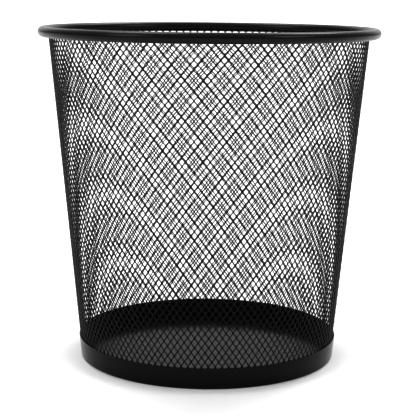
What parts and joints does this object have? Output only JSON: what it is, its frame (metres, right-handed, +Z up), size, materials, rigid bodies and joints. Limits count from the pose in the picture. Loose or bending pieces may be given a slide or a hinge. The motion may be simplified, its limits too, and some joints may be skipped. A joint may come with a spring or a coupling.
{
  "type": "wastebasket",
  "caption": "Round open-top wastebasket with a tapered diamond-mesh steel wall, a rolled tube rim and a pressed steel pan base.",
  "frame": {"origin": "on the basket's axis, on the plane that the standing ring rests on", "axes": "+Z up along the axis, from the base to the open rim; -Y is the side that faces the viewer; the mesh's lap seam and the rim's butt joint are on +X"},
  "size_m": [0.28, 0.28, 0.275],
  "materials": {
    "pan_coat": "black powder coat on pressed sheet steel, semi-gloss",
    "mesh_coat": "black powder coat on expanded metal, satin",
    "rim_coat": "black powder coat on rolled steel tube, semi-gloss"
  },
  "bodies": {
    "root": {"base_pan": "pan_coat", "mesh_wall": "mesh_coat", "top_rim": "rim_coat"}
  },
  "joints": []
}
